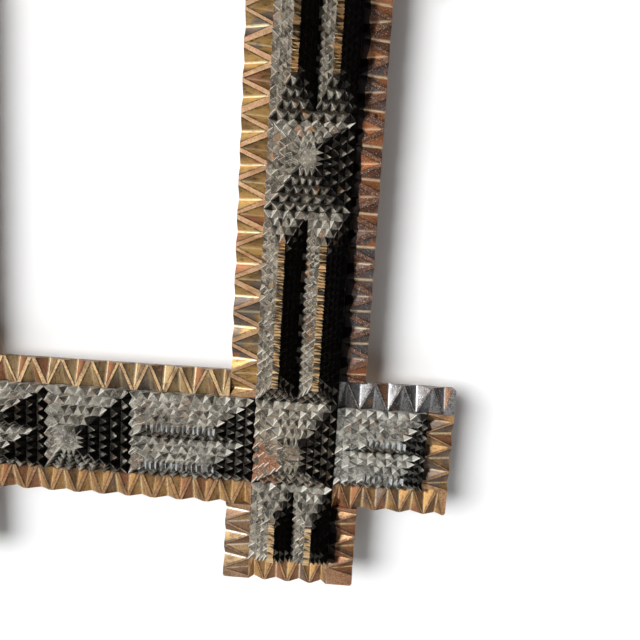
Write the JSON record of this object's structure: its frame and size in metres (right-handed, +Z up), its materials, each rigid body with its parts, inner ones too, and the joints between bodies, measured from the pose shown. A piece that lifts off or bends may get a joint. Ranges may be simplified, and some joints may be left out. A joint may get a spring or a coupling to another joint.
{
  "type": "tramp art picture frame",
  "caption": "Cross-corner wall frame with ears past each crossing, stacked notch-carved layers, zigzag-carved borders, a rebate at the back, turn buttons and a hanging ring.",
  "frame": {"origin": "on the back face of the top rail, at its middle, where the frame bears on the wall", "axes": "+X to the right as seen from the front, +Z up along the stiles, +Y out of the back towards the wall, so the carved front faces -Y"},
  "size_m": [0.381, 0.0426, 0.436],
  "materials": {
    "board": "old dark-stained softwood, dull, with dust in the grain",
    "border": "carved wood under worn bronze paint, gold to copper, satin",
    "field": "notched wood under worn silver-grey paint, low sheen, warm wood showing at the edges",
    "hardware": "tarnished brass"
  },
  "bodies": {
    "frame": {"stile_left": "board", "stile_right": "board", "rail_bottom": "board", "rail_top": "board", "field_left": "field", "field_right": "field", "field_bottom": "field", "field_top": "field", "crossing_bottom_left": "field", "crossing_bottom_right": "field", "crossing_top_left": "field", "crossing_top_right": "field", "side_ear_bottom_left": "field", "side_ear_bottom_right": "field", "side_ear_top_left": "field", "side_ear_top_right": "field", "upright_ear_bottom_left": "field", "upright_ear_bottom_right": "field", "upright_ear_top_left": "field", "upright_ear_top_right": "field", "border_left_sight": "border", "border_left_outer": "border", "border_right_sight": "border", "border_right_outer": "border", "border_bottom_sight": "border", "border_bottom_outer": "border", "border_top_sight": "border", "border_top_outer": "border", "side_ear_bottom_left_outer": "border", "side_ear_bottom_left_sight": "border", "side_ear_bottom_left_end": "border", "upright_ear_bottom_left_outer": "border", "upright_ear_bottom_left_sight": "border", "upright_ear_bottom_left_end": "border", "side_ear_bottom_right_outer": "border", "side_ear_bottom_right_sight": "border", "side_ear_bottom_right_end": "border", "upright_ear_bottom_right_outer": "border", "upright_ear_bottom_right_sight": "border", "upright_ear_bottom_right_end": "border", "side_ear_top_left_outer": "border", "side_ear_top_left_sight": "border", "side_ear_top_left_end": "border", "upright_ear_top_left_outer": "border", "upright_ear_top_left_sight": "border", "upright_ear_top_left_end": "border", "side_ear_top_right_outer": "border", "side_ear_top_right_sight": "border", "side_ear_top_right_end": "border", "upright_ear_top_right_outer": "border", "upright_ear_top_right_sight": "border", "upright_ear_top_right_end": "border", "button_screw_left": "hardware", "button_screw_right": "hardware", "screw_eye": "hardware"},
    "hanging_ring": {"hanging_ring": "hardware"},
    "turn_button_left": {"turn_button_left": "hardware"},
    "turn_button_right": {"turn_button_right": "hardware"}
  },
  "joints": [
    {"name": "ring_swing", "type": "hinge", "parent": "frame", "child": "hanging_ring", "pos_m": [0, 0.0053, 0.0157], "axis": [1, 0, 0], "range_deg": [-13, 193]},
    {"name": "button_left_turn", "type": "hinge", "parent": "frame", "child": "turn_button_left", "pos_m": [-0.088, 0.0018, -0.14], "axis": [0, 1, 0], "continuous": true},
    {"name": "button_right_turn", "type": "hinge", "parent": "frame", "child": "turn_button_right", "pos_m": [0.088, 0.0018, -0.14], "axis": [0, 1, 0], "continuous": true}
  ]
}
